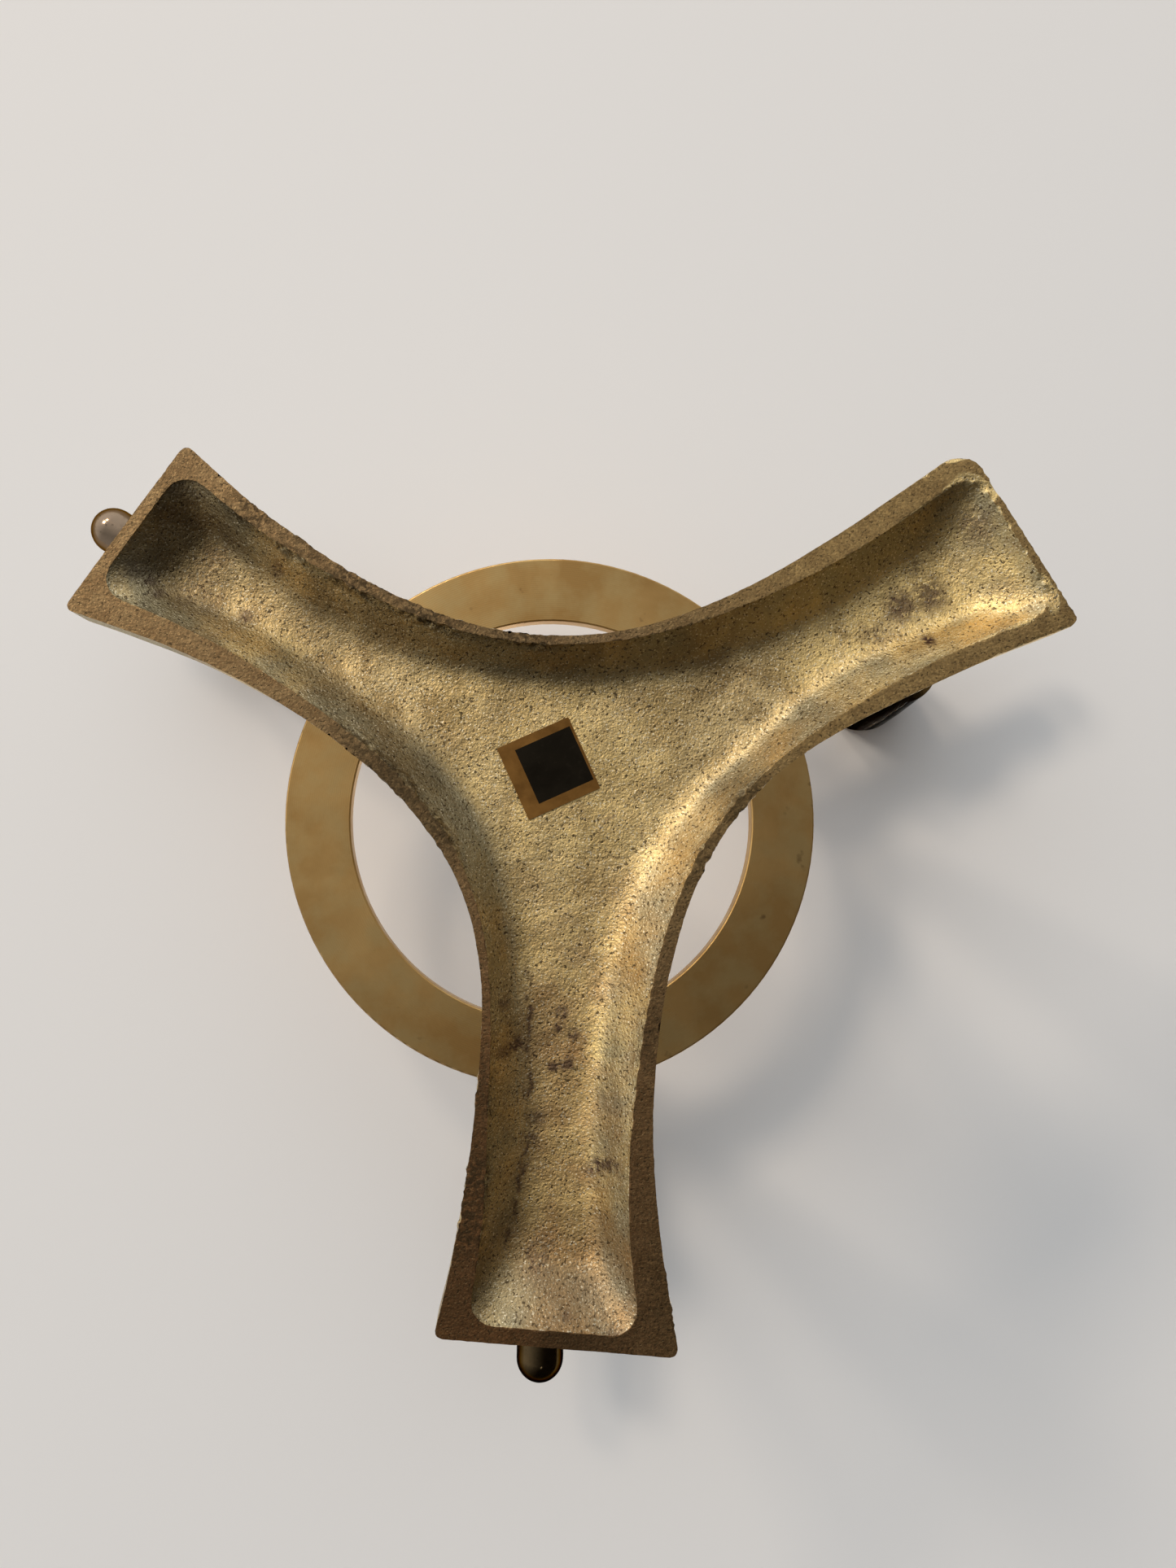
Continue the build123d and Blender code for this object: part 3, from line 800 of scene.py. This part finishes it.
@dataclass
class Stage:
    """The pale counter that the candelabra lies on, a pale floor for the views of it standing, and soft light."""

    counter_colour: str = "#f3ede3"
    floor_colour: str = "#c6c2bb"
    backdrop: str = "#d9d6d1"
    counter_side: float = 6.0  # metres
    floor_side: float = 60.0
    bright_side: tuple = (0.53, 0.82, 0.22)  # the direction of the room's bright walls
    turn: tuple = (-0.75, 0.95)  # how far towards it the room is darkest and brightest, as a cosine
    bright_wall: str = "#e2e9f4"
    dark_wall: str = "#1d1b1a"
    room_strength: float = 1.95
    lamps: tuple[Lamp, ...] = (
        Lamp("window", (0.617, 0.487, -0.617), 2.4, 0.42, 14.0, "#fff4ea"),
        Lamp("lamp", (0.40, 0.64, -0.62), 2.4, 0.3, 7.0, "#ffeedd"),
        Lamp("ceiling", (-0.35, -0.45, 1.1), 2.4, 1.2, 25.0, "#fff6ea"),
    )

    def sheet(self, name: str, height: float, faces_up: bool, side: float, colour: str) -> bpy.types.Object:
        """Makes a large plain sheet that is seen from its face only.

        Args:
            name: The object's name.
            height: Its Z, in metres.
            faces_up: Whether its face is up.
            side: Its side, in metres.
            colour: Its sRGB hex colour.

        Returns:
            The sheet.
        """
        bpy.ops.object.select_all(action="DESELECT")
        turn = 0.0 if faces_up else math.pi
        bpy.ops.mesh.primitive_plane_add(size=side, location=(0, 0, height), rotation=(turn, 0, 0))
        sheet = bpy.context.active_object
        sheet.name = name
        material = bpy.data.materials.new(name)
        material.use_nodes = True
        tree = material.node_tree
        tree.nodes.clear()
        pale = add_node(tree, "ShaderNodeBsdfDiffuse", {"Color": linear(colour)})
        clear = add_node(tree, "ShaderNodeBsdfTransparent")
        back = add_node(tree, "ShaderNodeNewGeometry").outputs["Backfacing"]
        both = add_node(tree, "ShaderNodeMixShader",
                        {0: back, 1: pale.outputs["BSDF"], 2: clear.outputs["BSDF"]})
        add_node(tree, "ShaderNodeOutputMaterial", {"Surface": both.outputs["Shader"]})
        sheet.data.materials.append(material)
        sheet.visible_shadow = False
        sheet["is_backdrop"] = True
        return sheet

    def build(self, top: float) -> None:
        """Builds the sheets, the world and the lights.

        Args:
            top: The height of the cups' rims, where the counter is.
        """
        self.sheet("counter", top, False, self.counter_side, self.counter_colour)
        floor = self.sheet("floor", 0.0, True, self.floor_side, self.floor_colour)
        floor.visible_diffuse = floor.visible_glossy = floor.visible_transmission = False
        world = bpy.data.worlds.new("room")
        bpy.context.scene.world = world
        world.use_nodes = True
        tree = world.node_tree
        tree.nodes.clear()
        direction = add_node(tree, "ShaderNodeTexCoord").outputs["Generated"]
        side = add_node(tree, "ShaderNodeVectorMath", {0: direction, 1: self.bright_side},
                        operation="DOT_PRODUCT")
        share = add_node(tree, "ShaderNodeMapRange",
                         {"Value": side.outputs["Value"], "From Min": self.turn[0], "From Max": self.turn[1]},
                         interpolation_type="SMOOTHSTEP")
        sky = add_node(tree, "ShaderNodeMix", {0: share.outputs["Result"], 6: linear(self.dark_wall),
                                               7: linear(self.bright_wall)}, data_type="RGBA")
        light = add_node(tree, "ShaderNodeBackground", {"Color": sky.outputs[2], "Strength": self.room_strength})
        plain = add_node(tree, "ShaderNodeBackground", {"Color": linear(self.backdrop)})
        seen = add_node(tree, "ShaderNodeLightPath").outputs["Is Camera Ray"]
        both = add_node(tree, "ShaderNodeMixShader",
                        {0: seen, 1: light.outputs["Background"], 2: plain.outputs["Background"]})
        add_node(tree, "ShaderNodeOutputWorld", {"Surface": both.outputs["Shader"]})
        for lamp in self.lamps:
            lamp.hang()


@dataclass
class Viewpoint:
    """The camera, close under the base and looking up at it, a few degrees off the candelabra's axis."""

    place: tuple = (9.66 * MM, -10.65 * MM, -188.0 * MM)
    across_tilt: float = -0.0614  # X of the viewing direction
    up_tilt: float = 0.0652  # Y of the viewing direction
    focal_share: float = 1400 / 1927  # focal length over the frame's long side

    def build(self) -> None:
        """Adds the camera and makes it the scene's."""
        data = bpy.data.cameras.new("camera")
        data.lens = self.focal_share * data.sensor_width
        data.clip_start, data.clip_end = 0.01, 20.0
        camera = bpy.data.objects.new("camera", data)
        forward = Vector((self.across_tilt, self.up_tilt, 0))
        forward.z = math.sqrt(1 - forward.length_squared)
        up = Vector((0.0, 1.0, 0.0))
        right = forward.cross(up).normalized()
        up = right.cross(forward).normalized()
        rotation = Matrix((right, up, -forward)).transposed()
        camera.matrix_world = Matrix.Translation(self.place) @ rotation.to_4x4()
        bpy.context.scene.collection.objects.link(camera)
        bpy.context.scene.camera = camera


# ---- The whole object ---------------------------------------------------------------------------


@dataclass
class Candelabra:
    """Dresses the CAD nodes and adds the remade pieces."""

    finishes: dict[Finish, bpy.types.Material] = field(default_factory=dict)
    dark_reflection_brass: bpy.types.Material | None = None  # a darker copy of the polished brass on the cups and one arm: painted dark reflection
    dark_reflection_arm: str = "c"

    def mix_finishes(self) -> None:
        """Makes each finish's material."""
        self.finishes = {
            Finish.CAST: SandCastBrass("sand_cast_brass").build(),
            Finish.SATIN: SatinBrass("satin_brass").build(),
            Finish.POLISHED: PolishedBrass("aged_polished_brass").build(),
            Finish.STEEL: TurnedSteel("turned_steel").build(),
            Finish.FOIL: PrintedFoil("printed_foil").build(),
        }
        # a darker copy of the same brass: painted dark reflection for the cups and arm C
        self.dark_reflection_brass = PolishedBrass("painted_dark_polished_brass", metal="#5d4b31", film="#3d3020", dark="#1f1810",
                                    edge="#3d3222").build()

    def dress(self, piece: bpy.types.Object, finish: Finish, material: bpy.types.Material | None = None) -> None:
        """Gives a piece its material, and reports it with its finish.

        Args:
            piece: The object.
            finish: Its finish.
            material: A variant of the finish's usual material.
        """
        piece.data.materials.clear()
        piece.data.materials.append(material or self.finishes[finish])
        LOG.info("%s: %d faces, %s", piece.name, len(piece.data.polygons), finish.value)

    def build(self) -> None:
        """Builds and dresses every piece."""
        self.mix_finishes()
        base = CastBase().build()
        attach(base, BODY)
        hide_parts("base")
        self.dress(base, Finish.CAST)
        label = FoilLabel().build(base)
        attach(label, BODY)
        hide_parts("label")
        self.dress(label, Finish.FOIL)
        self.dress(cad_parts["ring"], Finish.SATIN)
        for key in ARM_KEYS:
            self.dress(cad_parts[f"upright_{key}"], Finish.POLISHED)
            # arm C and the cups take the darker copy: painted dark reflection
            dark_reflection_brass = self.dark_reflection_brass if key == self.dark_reflection_arm else None
            self.dress(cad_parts[f"arm_{key}"], Finish.POLISHED, dark_reflection_brass)
            self.dress(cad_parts[f"cup_{key}"], Finish.POLISHED, self.dark_reflection_brass)
            for part in ("foot_stud", "ring_stud", "cup_screw"):
                self.dress(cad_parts[f"{part}_{key}"], Finish.STEEL)


def main() -> None:
    logging.basicConfig(level=logging.INFO, format="%(name)s: %(message)s")
    cad_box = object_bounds()
    bpy.context.scene.view_settings.view_transform = "Standard"
    Candelabra().build()
    Stage().build(cad_box[1].z)
    Viewpoint().build()


if __name__ == "__main__":
    main()
